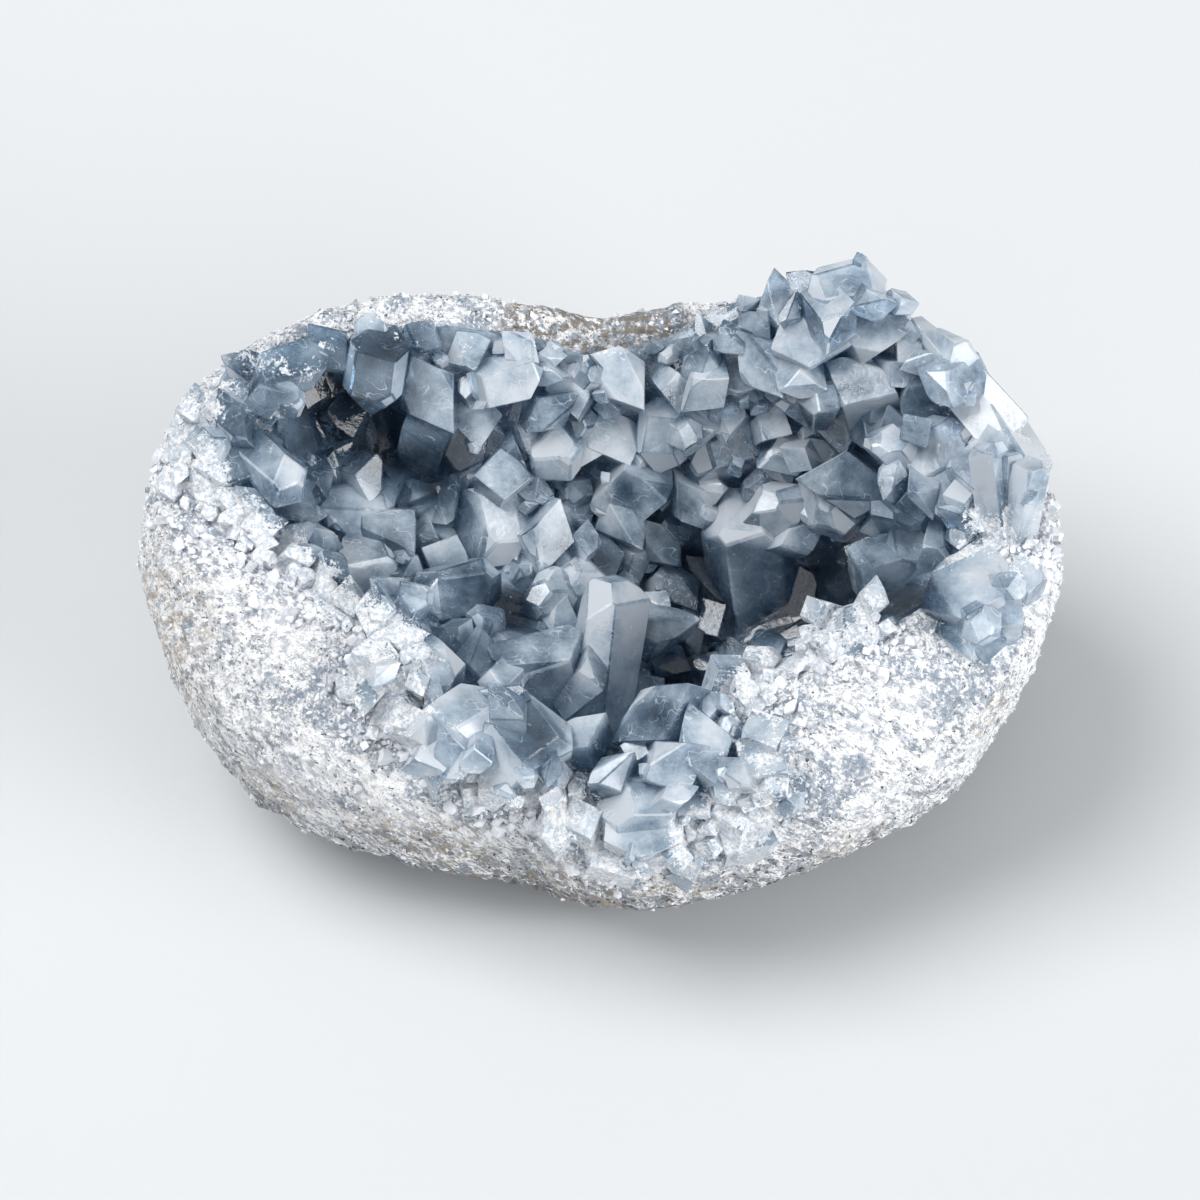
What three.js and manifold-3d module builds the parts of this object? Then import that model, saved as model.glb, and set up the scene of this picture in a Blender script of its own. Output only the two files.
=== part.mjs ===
// A celestite geode: half a nodule, broken open, that lies on a small flat spot with its hollow
// facing up and forwards. Two solids: the rind, which is the nodule's thick wall of white granular
// rock, and the crust of pale blue crystals that lines the hollow and spills over the rim.
//
// Units are millimetres, +X is right, +Y is back and +Z is up. The flat spot lies on z = 0.

import * as THREE from "three";
import { ImprovedNoise } from "three/addons/math/ImprovedNoise.js";
import { mergeVertices } from "three/addons/utils/BufferGeometryUtils.js";
import Module from "manifold-3d";

const wasm = await Module();
wasm.setup();

// ---- driving dimensions ----

const SEAM = 0.3; // open seam between the rind and the crust
const LINING = { thick: 4, edge: 2, thins: 0.25 }; // the crust between its crystals, and its edge
const FACETS = { rind: 44, lining: 32 }; // facets around the nodule

const FOOT = { x: 35, y: 25 }; // half sizes of the flat spot
const HAUNCH = { out: 0.78, up: 0.36 }; // share of the way from the flat spot to the belly
const SHOULDER = { in: 0.3, up: 0.68 }; // share of the way from the belly to the crest
const WALL = { in: 0.84, down: 0.5 }; // mid wall, as shares of the lip's radius and height
const FLOOR = { in: 0.52, z: 17, middle: 14 }; // the hollow's floor, at its edge and its middle
const MOUND = { x: -20, y: 0, top: 8.5, foot: 42.5, height: 23 }; // swell in that floor
const LUMP = { size: 24, height: 1.9 }; // weathering of the outside
const KNOB = { size: 9, height: 0.9 };

// The nodule's section every 22.5 degrees, counter-clockwise from +X: radius and height of the
// belly, of the rim's crest and of the inner lip, then where the crust's edge lies on the
// section (4 is the crest, 5 the lip, and less than 4 is outside the rim).
const SECTIONS = [
  [85, 48, 79, 62, 70, 59, 3.6], // right
  [85, 50, 78, 71, 72, 67, 3.7],
  [71, 52, 67, 76, 62, 72, 3.7],
  [58, 52, 53, 73, 48, 68, 4.2],
  [54, 50, 47, 70, 42, 64, 4.8], // back
  [58, 52, 51, 76, 45, 71, 4.9],
  [69, 54, 64, 78, 57, 73, 4.8],
  [84, 54, 76, 74.5, 69, 69, 4.2],
  [83.5, 51, 76, 66, 62, 61, 4.3], // left
  [76, 43, 62, 60, 49, 56, 4.8],
  [60, 40, 51, 54, 43, 50, 4.3],
  [50.5, 38, 45.5, 47, 39, 44, 4],
  [52.5, 31, 44, 41, 36, 39, 2.9], // front
  [54.5, 34, 46, 46, 36, 44, 2.9],
  [64, 40, 52, 58, 40, 56, 4.6],
  [76.5, 45, 61, 63, 51, 61, 4.6],
].map(([belly, bellyZ, crest, crestZ, lip, lipZ, edge]) => {
  return { belly, bellyZ, crest, crestZ, lip, lipZ, edge };
});

const mix = THREE.MathUtils.lerp;
const smooth = THREE.MathUtils.smoothstep;
const radians = THREE.MathUtils.degToRad;

// ---- the nodule's surface ----

// A closed curve through one point for each section, at radius r, or at radii rx and ry.
function ringCurve(place) {
  const points = SECTIONS.map((section, k) => {
    const angle = radians((360 * k) / SECTIONS.length);
    const { r, rx = r, ry = r, z } = place(section);
    return new THREE.Vector3(rx * Math.cos(angle), ry * Math.sin(angle), z);
  });
  return new THREE.CatmullRomCurve3(points, true, "catmullrom", 0.5);
}

const RINGS = [
  ringCurve(() => ({ rx: FOOT.x, ry: FOOT.y, z: 0 })),
  ringCurve(({ belly, bellyZ }) => ({
    rx: mix(FOOT.x, belly, HAUNCH.out),
    ry: mix(FOOT.y, belly, HAUNCH.out),
    z: bellyZ * HAUNCH.up,
  })),
  ringCurve(({ belly, bellyZ }) => ({ r: belly, z: bellyZ })),
  ringCurve(({ belly, bellyZ, crest, crestZ }) => ({
    r: mix(belly, crest, SHOULDER.in),
    z: mix(bellyZ, crestZ, SHOULDER.up),
  })),
  ringCurve(({ crest, crestZ }) => ({ r: crest, z: crestZ })),
  ringCurve(({ lip, lipZ }) => ({ r: lip, z: lipZ })),
  ringCurve(({ lip, lipZ }) => ({ r: lip * WALL.in, z: mix(FLOOR.z, lipZ, WALL.down) })),
  ringCurve(({ lip }) => ({ r: lip * FLOOR.in, z: FLOOR.z })),
];
// Stops on a section, counted along the rings above.
const CREST = 4;
const LIP = 5;
const CENTRE = RINGS.length; // the middle of the hollow's floor

// Height that the mound adds to the hollow's floor.
function mound(x, y) {
  const away = Math.hypot(x - MOUND.x, y - MOUND.y);
  return MOUND.height * (1 - smooth(away, MOUND.top, MOUND.foot));
}

const perlin = new ImprovedNoise();

// Knobs and dents of the weathered outside, fading out at the flat spot and below the lip.
function weathering(p, stop) {
  const wave = ({ size, height }) => height * perlin.noise(p.x / size, p.y / size, p.z / size);
  const outside = smooth(stop, 0, 1) * (1 - smooth(stop, LIP, LIP + 1));
  return outside * (wave(LUMP) + wave(KNOB));
}

// The section a share of the way round, as a curve from the flat spot's edge to the centre.
function section(share) {
  const stops = RINGS.map((ring) => ring.getPoint(share));
  stops.push(new THREE.Vector3(0, 0, FLOOR.middle));
  return new THREE.CatmullRomCurve3(stops, false, "catmullrom", 0.5);
}

function bareSurface(share, stop) {
  const p = section(((share % 1) + 1) % 1).getPoint(stop / CENTRE);
  if (stop > CREST) p.z += mound(p.x, p.y);
  return p;
}

// Point and outward normal of the nodule's surface: out of the rock, or into the hollow.
function surface(share, stop) {
  const STEP = 0.01;
  const side = bareSurface(share + STEP, stop).sub(bareSurface(share - STEP, stop));
  const rise = bareSurface(share, Math.min(stop + STEP, CENTRE));
  rise.sub(bareSurface(share, Math.max(stop - STEP, 0)));
  const normal = side.cross(rise).normalize();
  const point = bareSurface(share, stop);
  point.addScaledVector(normal, weathering(point, stop));
  return { point, normal };
}

// ---- closed skins between rings of that surface ----

const sharesOf = (count) => Array.from({ length: count }, (_, i) => i / count);

// Joins rings of points, with a single point at each end, into one closed geometry.
function closedSkin(first, rings, last) {
  const corners = [first, ...rings.flat(), last];
  const faces = [];
  const around = rings[0].length;
  const at = (ring, i) => 1 + ring * around + (i % around);
  for (let i = 0; i < around; i++) {
    faces.push(0, at(0, i + 1), at(0, i));
    for (let ring = 0; ring + 1 < rings.length; ring++) {
      const [a, b] = [at(ring, i), at(ring, i + 1)];
      const [c, d] = [at(ring + 1, i + 1), at(ring + 1, i)];
      faces.push(a, b, c, a, c, d);
    }
    faces.push(at(rings.length - 1, i), at(rings.length - 1, i + 1), corners.length - 1);
  }
  return new THREE.BufferGeometry().setFromPoints(corners).setIndex(faces);
}

const middle = (lift) => new THREE.Vector3(0, 0, FLOOR.middle + mound(0, 0) + lift);

const RIND_STOPS = [0, 0.4, 0.8, 1.2, 1.6, 2, 2.4, 2.8, 3.2, 3.6, 4, 4.4, 4.9, 5.5, 6.1, 6.7, 7.4];

// The rind's skin, or the same skin moved outwards by grow.
function rindSkin(grow) {
  const rings = RIND_STOPS.map((stop) =>
    sharesOf(FACETS.rind).map((share) => {
      const { point, normal } = surface(share, stop);
      point.addScaledVector(normal, grow);
      if (stop === 0) point.z = -grow;
      return point;
    }),
  );
  return closedSkin(new THREE.Vector3(0, 0, -grow), rings, middle(grow));
}

// Where the crust's edge crosses the section a share of the way round.
function crustEdge(share) {
  const k = share * SECTIONS.length;
  const near = Math.floor(k);
  const edgeOf = (n) => SECTIONS[n % SECTIONS.length].edge;
  return mix(edgeOf(near), edgeOf(near + 1), smooth(k - near, 0, 1));
}

// The crust between its crystals: a layer whose underside is sunk in the rind, to be cut clear.
function liningSkin() {
  const SUNK = -1;
  const LAYERS = 6;
  const LAST_STOP = CENTRE - 0.5;
  const ways = Array.from({ length: LAYERS + 1 }, (_, i) => i / LAYERS);
  const ring = (way, lift) =>
    sharesOf(FACETS.lining).map((share) => {
      const { point, normal } = surface(share, mix(crustEdge(share), LAST_STOP, way));
      return point.addScaledVector(normal, lift);
    });
  const thickness = (way) => mix(LINING.edge, LINING.thick, smooth(way, 0, LINING.thins));
  const under = ways.map((way) => ring(way, SUNK)).reverse();
  const top = ways.map((way) => ring(way, thickness(way)));
  return closedSkin(middle(SUNK), [...under, ...top], middle(LINING.thick));
}

// ---- crystals ----

// The hollow is laid out as it is seen from in front and 50 degrees up: this is the line of
// sight, with right and up square to it.
const SIGHT = radians(50);
const sight = {
  right: new THREE.Vector3(1, 0, 0),
  up: new THREE.Vector3(0, Math.sin(SIGHT), Math.cos(SIGHT)),
  out: new THREE.Vector3(0, -Math.cos(SIGHT), Math.sin(SIGHT)),
};

// A direction that leans right and up, in degrees, from the line of sight.
function leaning(right, up) {
  const [r, u] = [radians(right), radians(up)];
  return new THREE.Vector3()
    .addScaledVector(sight.right, Math.sin(r))
    .addScaledVector(sight.up, Math.cos(r) * Math.sin(u))
    .addScaledVector(sight.out, Math.cos(r) * Math.cos(u));
}

// Repeatable scatter in 0 to 1.
function scatter(seed) {
  let state = seed >>> 0;
  return () => {
    state = (Math.imul(state, 1664525) + 1013904223) >>> 0;
    return state / 4294967296;
  };
}

// The convex solid inside a list of planes, each { n: outward unit normal, d: distance }.
function convexSolid(planes) {
  const FLAT = 1e-5; // three planes are parallel to a line when their determinant is below this
  const TOUCH = 1e-4; // two points are one when they are closer than this
  const corners = [];
  const meet = new THREE.Matrix3();
  planes.forEach((a, i) =>
    planes.slice(i + 1).forEach((b, j) =>
      planes.slice(i + j + 2).forEach((c) => {
        meet.set(a.n.x, a.n.y, a.n.z, b.n.x, b.n.y, b.n.z, c.n.x, c.n.y, c.n.z);
        if (Math.abs(meet.determinant()) < FLAT) return;
        const p = new THREE.Vector3(a.d, b.d, c.d).applyMatrix3(meet.invert());
        if (planes.some(({ n, d }) => n.dot(p) > d + TOUCH)) return;
        if (corners.every((q) => q.distanceTo(p) > TOUCH)) corners.push(p);
      }),
    ),
  );
  const triangles = [];
  for (const { n, d } of planes) {
    const face = corners.filter((p) => Math.abs(n.dot(p) - d) < 2 * TOUCH);
    if (face.length < 3) continue;
    const heart = face.reduce((sum, p) => sum.add(p), new THREE.Vector3());
    heart.divideScalar(face.length);
    const across = face[0].clone().sub(heart).normalize();
    const along = n.clone().cross(across);
    const turn = (p) => {
      const q = p.clone().sub(heart);
      return Math.atan2(q.dot(along), q.dot(across));
    };
    face.sort((p, q) => turn(p) - turn(q));
    face.slice(2).forEach((p, i) => triangles.push(face[0], face[i + 1], p));
  }
  return new THREE.BufferGeometry().setFromPoints(triangles);
}

// Faces of a celestite crystal that points along +Z with its flat end at z = 0: a six-sided
// prism, flattened across Y, whose end is bevelled by two pairs of domes. No two faces grow
// quite alike. A small crystal has only the four-sided prism and one pair of domes.
function crystalFaces(width, seed) {
  const SMALL = 13;
  const REACH = width < SMALL ? 0.54 : 0.62; // share of the width from the axis to the sharp edge
  const random = scatter(seed);
  const uneven = (least, most) => mix(least, most, random());
  const half = width * REACH;
  const thick = half * uneven(0.62, 0.9);
  const prism = radians(uneven(36, 44));
  const blunt = uneven(0.3, 0.72);
  const slope = radians(uneven(38, 56));
  const faces = [{ n: new THREE.Vector3(0, 0, 1), d: 0 }];
  for (const [sx, sy] of [[1, 1], [-1, 1], [-1, -1], [1, -1]]) {
    const n = new THREE.Vector3(sx * Math.cos(prism), sy * Math.sin(prism), 0);
    faces.push({ n, d: half * Math.cos(prism) * uneven(0.9, 1.08) });
  }
  for (const s of [1, -1]) {
    const alongX = new THREE.Vector3(s * Math.sin(slope), 0, Math.cos(slope));
    faces.push({ n: alongX, d: Math.sin(slope) * half * blunt * uneven(0.6, 1.3) });
    if (width < SMALL) continue;
    faces.push({ n: new THREE.Vector3(0, s, 0), d: thick * uneven(0.85, 1.1) });
    const alongY = new THREE.Vector3(0, s * Math.sin(slope), Math.cos(slope));
    faces.push({ n: alongY, d: Math.sin(slope) * thick * blunt * uneven(0.5, 1.5) });
  }
  return faces;
}

// A crystal's solid: its faces turned and moved so that it points along axis with its flat end
// at tip, cut off inside the lining, level with the wall it grows on.
function crystalGeometry({ tip, axis, width, spin, seat, wall, seed }) {
  const across = sight.right.clone().addScaledVector(axis, -sight.right.dot(axis)).normalize();
  across.applyAxisAngle(axis, radians(spin));
  const turn = new THREE.Matrix4().makeBasis(across, axis.clone().cross(across), axis);
  const faces = crystalFaces(width, seed).map(({ n, d }) => {
    n.transformDirection(turn);
    return { n, d: d + n.dot(tip) };
  });
  const back = axis.clone().negate();
  faces.push({ n: back, d: back.dot(seat) + width / 2 });
  const under = wall.clone().negate();
  faces.push({ n: under, d: under.dot(seat) });
  return convexSolid(faces);
}

// The larger crystals. Each row: where its flat end is seen, in mm right and up of the flat
// spot's middle and square to the line of sight; its width; how far it stands out of the
// rind's wall; how many degrees it leans right and up from the line of sight; its spin.
const CRYSTALS = [
  // left back wall
  [-57, 71, 13, 8, 18, 0, 20],
  [-61, 66, 9, 7, 12, 30, 5],
  [-50, 76, 9, 5, 8, 5, 40],
  [-41, 71, 14, 12, 2, -8, 80],
  [-47, 64, 8, 6, 30, 5, 10],
  [-42, 79, 7, 4, 0, 5, 0],
  [-33, 78, 7, 5, -5, 5, 60],
  [-32, 68, 10, 9, -3, -5, 30],
  [-70, 63, 8, 4, 20, 15, 15],
  [-55, 60, 9, 9, 20, 15, 10],
  [-66, 56, 12, 6, 5, 28, 0],
  [-53, 54, 10, 10, 22, 30, 30],
  [-72, 51, 8, 3, 5, 20, 40],
  // left ledge
  [-46, 48, 13, 12, 5, 30, 10],
  [-56, 45, 8, 6, 8, 30, 45],
  [-63, 45, 8, 4, 5, 25, 20],
  [-42, 38, 13, 10, 8, 34, 25],
  [-27, 34, 13, 12, 0, 45, 15],
  [-36, 26, 12, 10, 8, 40, 40],
  [-40, 20, 8, 7, 10, 45, 0],
  // the swell in the middle
  [-20, 44, 17, 14, -8, 18, 10],
  [-13, 51, 8, 14, 0, 22, 0],
  [-5, 46, 9, 10, 5, 20, 30],
  [-8, 37, 12, 12, 5, 12, 50],
  [0, 38, 9, 10, 12, 15, 10],
  [5, 45, 9, 14, 12, 2, 25],
  [2, 52, 10, 9, 0, 28, 15],
  [12, 40, 8, 12, 20, 5, 40],
  // middle back wall
  [3, 60, 9, 8, 0, 5, 20],
  [-4, 58, 9, 8, 0, 0, 70],
  [13, 60, 13, 11, 5, -5, 85],
  [3, 72, 9, 7, 0, 8, 35],
  [-5, 71, 7, 6, -5, 10, 10],
  [-18, 70, 12, 9, 2, -10, 15],
  [-15, 77, 7, 5, 0, 10, 50],
  [-23, 63, 9, 7, 0, 5, 5],
  [-14, 60, 7, 8, -12, 8, 30],
  [-27, 56, 12, 8, 0, -12, 30],
  [-20, 58, 8, 7, 8, 0, 65],
  [-24, 76, 8, 5, -2, 8, 20],
  // right back cluster
  [45.5, 88.5, 13, 12, 0, 30, 20],
  [34, 85, 8, 7, -5, 20, 10],
  [41, 79, 15, 13, -3, 6, 25],
  [50, 79, 10, 10, 5, 5, 80],
  [55, 83, 7, 7, 8, 20, 20],
  [40, 68, 14, 12, 0, -6, 10],
  [29, 80, 7, 6, -5, 12, 40],
  [22, 78, 7, 5, 0, 15, 10],
  [24, 64, 8, 9, -2, 18, 0],
  [25, 56, 16, 9, 0, -12, 20],
  [33, 62, 7, 11, 12, 5, 60],
  [44, 63, 8, 8, 0, 0, 10],
  [43, 54, 10, 7, 0, -10, 50],
  [51, 61, 9, 11, -8, 5, 15],
  [60, 58, 14, 14, -8, 12, 30],
  [60, 70, 12, 9, -4, 34, 90],
  [67, 73, 9, 5, 10, 20, 60],
  [54, 50, 9, 10, -15, 0, 75],
  [63, 49, 9, 12, -12, 14, 10],
  [69, 54, 10, 10, -10, 30, 0],
  [74, 62, 8, 4, 10, 20, 45],
  [58, 41, 10, 8, -20, 5, 20],
  [47, 44, 9, 7, -10, -5, 55],
  // right, above the front lobe
  [67, 32, 14, 8, -6, 30, 25],
  [46, 28, 12, 7, 0, 52, 5],
  [36, 32, 10, 8, -10, 20, 70],
  [15, 32, 8, 9, 0, 20, 30],
  [22, 33, 9, 7, 5, 15, 50],
  [40, 39, 9, 7, -5, 10, 10],
  [51, 37, 9, 7, -15, 10, 70],
  [27, 45, 14, 20, -2, 38, 15],
  [12, 50, 7, 8, 0, 5, 0],
  // front
  [4, 26, 12, 18, 4, 62, 30],
  [-12, 21, 15, 13, 0, 44, 20],
  [-12, 5, 16, 13, 6, 24, 35],
  [-22, 20, 8, 9, 5, 35, 0],
  [-30, 18, 10, 9, 5, 32, 15],
  [-25, 9, 12, 8, 4, 30, 45],
  [-36, 10, 9, 5, 6, 30, 20],
  [-30, 3, 8, 2.5, 0, 30, 0],
  [13, 18, 8, 8, 0, 25, 60],
  [25, 19, 9, 7, -8, 40, 5],
  [32, 21, 8, 5, -5, 45, 30],
  [19, 3, 10, 9, 2, 22, 20],
  [8, -4, 14, 8, 0, 38, 10],
  [9, -11, 13, 5, 0, 15, 30],
  [25, -8, 8, 3.5, 4, 35, 15],
  [26, -12, 10, 2.5, 4, 22, 60],
  [29, 1, 9, 5, -4, 30, 50],
  [3, -17, 9, 2, 0, 15, 35],
  [16, -17, 8, 2, 2, 15, 10],
];

// Where a line of sight, mm right and up of the flat spot's middle, first meets the rind.
const lookingAt = new THREE.Raycaster();
function seen(rindMesh, right, up) {
  const FAR = 400;
  const from = new THREE.Vector3()
    .addScaledVector(sight.right, right)
    .addScaledVector(sight.up, up)
    .addScaledVector(sight.out, FAR);
  lookingAt.set(from, sight.out.clone().negate());
  return lookingAt.intersectObject(rindMesh)[0];
}

// Where a crystal's root ends: inside the lining, or on the rim, which curves away, in the rock.
function seatOn(point, wall, width) {
  const INSIDE = 0.5; // a wall in the hollow faces the nodule's axis by more than this
  const facesIn = -(wall.x * point.x + wall.y * point.y) / Math.hypot(point.x, point.y);
  const depth = facesIn > INSIDE ? LINING.thick / 2 : -width / 2;
  return point.clone().addScaledVector(wall, depth);
}

function listedCrystals(rindMesh) {
  return CRYSTALS.map(([right, up, width, stands, leanRight, leanUp, spin], i) => {
    const axis = leaning(leanRight, leanUp);
    const seatRight = right - stands * axis.dot(sight.right);
    const seatUp = up - stands * axis.dot(sight.up);
    const hit = seen(rindMesh, seatRight, seatUp);
    if (!hit) throw new Error(`crystal ${i} at ${right}, ${up} has no seat`);
    const wall = hit.face.normal;
    const seat = seatOn(hit.point, wall, width);
    const tip = hit.point.addScaledVector(axis, stands);
    return { tip, axis, width, spin, seat, wall, seed: 101 + i };
  });
}

// Crystals scattered over the wall that the larger ones leave bare.
function fillingCrystals(others) {
  const TRIES = 60;
  const ROOM = 0.36; // share of two crystals' widths that parts their seats
  const NARROW = 7;
  const WIDE = 12;
  const STUBBY = 0.5; // length out of the lining, as a share of the width
  const TO_SIGHT = 0.5; // how far a crystal turns from the wall's normal to the line of sight
  const RAGGED = 0.7; // how far it turns at random
  const EDGEWARDS = 0.8; // evens out the crystals between the rim and the hollow's middle
  const INSET = 0.4; // stops that are left free at the crust's edge and at the middle
  const random = scatter(7);
  const all = [...others];
  const trunk = new THREE.Line3();
  const spot = new THREE.Vector3();
  const crowds = (other, point, width) => {
    trunk.set(other.seat, other.tip).closestPointToPoint(point, true, spot);
    return spot.distanceTo(point) < ROOM * (other.width + width);
  };
  for (let i = 0; i < TRIES; i++) {
    const share = random();
    const width = mix(NARROW, WIDE, random());
    const stands = LINING.thick + width * mix(STUBBY, 1, random());
    const way = 1 - random() ** EDGEWARDS;
    const { point, normal } = surface(share, mix(crustEdge(share) + INSET, CENTRE - INSET, way));
    const tilt = new THREE.Vector3(random() - 0.5, random() - 0.5, random() - 0.5);
    const axis = normal.clone().addScaledVector(sight.out, TO_SIGHT);
    axis.addScaledVector(tilt, RAGGED).normalize();
    if (all.some((other) => crowds(other, point, width))) continue;
    const seat = seatOn(point, normal, width);
    const tip = point.clone().addScaledVector(axis, stands);
    all.push({ tip, axis, width, spin: 180 * random(), seat, wall: normal, seed: 1001 + i });
  }
  return all.slice(others.length);
}

// ---- solids and meshes ----

function solidOf(geometry) {
  const merged = mergeVertices(new THREE.BufferGeometry().copy(geometry), 1e-3);
  const vertProperties = new Float32Array(merged.attributes.position.array);
  const triVerts = new Uint32Array(merged.index.array);
  return new wasm.Manifold(new wasm.Mesh({ numProp: 3, vertProperties, triVerts }));
}

function geometryOf(solid) {
  const mesh = solid.getMesh();
  const place = new THREE.BufferAttribute(new Float32Array(mesh.vertProperties), 3);
  const geometry = new THREE.BufferGeometry().setAttribute("position", place);
  return geometry.setIndex(new THREE.BufferAttribute(new Uint32Array(mesh.triVerts), 1));
}

function meshOf(name, geometry, color, roughness) {
  const flat = geometry.toNonIndexed();
  flat.computeVertexNormals();
  const material = new THREE.MeshStandardMaterial({ color, roughness, metalness: 0 });
  const mesh = new THREE.Mesh(flat, material);
  mesh.name = name;
  return mesh;
}

const rindMesh = meshOf("rind", rindSkin(0), 0xdbdce0, 0.85);

function crustMesh() {
  const listed = listedCrystals(rindMesh);
  const crystals = [...listed, ...fillingCrystals(listed)];
  const grown = crystals.map((crystal) => solidOf(crystalGeometry(crystal)));
  const whole = wasm.Manifold.union([solidOf(liningSkin()), ...grown]);
  const clear = whole.subtract(solidOf(rindSkin(SEAM)));
  const pieces = clear.decompose().sort((a, b) => b.volume() - a.volume());
  return meshOf("crystal_crust", geometryOf(pieces[0]), 0x9fb2c2, 0.15);
}

// The whole, moved so that the middle of its box stands over the origin.
const geode = new THREE.Group();
geode.add(rindMesh, crustMesh());
const box = new THREE.Box3().setFromObject(geode, true);
const { x, y } = box.getCenter(new THREE.Vector3());
geode.position.set(-x, -y, 0);

export default geode;
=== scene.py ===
"""A celestite geode: white granular rock around a hollow full of pale blue crystals."""

from itertools import combinations
from math import radians, sin, cos

import bmesh
import bpy
import numpy as np
from bpy.props import FloatProperty, FloatVectorProperty, IntProperty, PointerProperty
from mathutils import Matrix, Vector, noise
from mathutils.bvhtree import BVHTree


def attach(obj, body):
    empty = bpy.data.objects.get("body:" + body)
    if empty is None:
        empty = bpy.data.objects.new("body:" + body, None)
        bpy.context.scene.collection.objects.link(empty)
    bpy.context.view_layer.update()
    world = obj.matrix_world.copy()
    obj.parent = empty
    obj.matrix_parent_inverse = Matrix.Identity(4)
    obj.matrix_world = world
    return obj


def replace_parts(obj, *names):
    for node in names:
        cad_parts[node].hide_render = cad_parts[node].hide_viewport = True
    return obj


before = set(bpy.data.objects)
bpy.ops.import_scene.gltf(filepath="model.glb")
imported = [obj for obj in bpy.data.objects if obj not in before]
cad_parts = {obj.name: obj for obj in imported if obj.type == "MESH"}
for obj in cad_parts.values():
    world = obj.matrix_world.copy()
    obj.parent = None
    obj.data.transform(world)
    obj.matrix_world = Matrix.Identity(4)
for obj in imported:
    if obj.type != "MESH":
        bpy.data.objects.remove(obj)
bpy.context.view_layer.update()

bl_info = {
    "name": "Celestite geode",
    "version": (1, 0, 0),
    "blender": (4, 5, 0),
    "location": "View3D > Sidebar > Geode",
    "description": "Builds a celestite geode with its rock, its crystals and a plain studio",
    "category": "Object",
}

MM = 0.001  # the frame is in metres, and the shapes below are worked out in millimetres

# The hollow is laid out as it is seen from in front and 50 degrees up: RIGHT, UP and OUT are
# square to each other, and OUT runs along the line of sight.
SIGHT = radians(50)
RIGHT = np.array([1.0, 0.0, 0.0])
UP = np.array([0.0, sin(SIGHT), cos(SIGHT)])
OUT = np.array([0.0, -cos(SIGHT), sin(SIGHT)])

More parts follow.
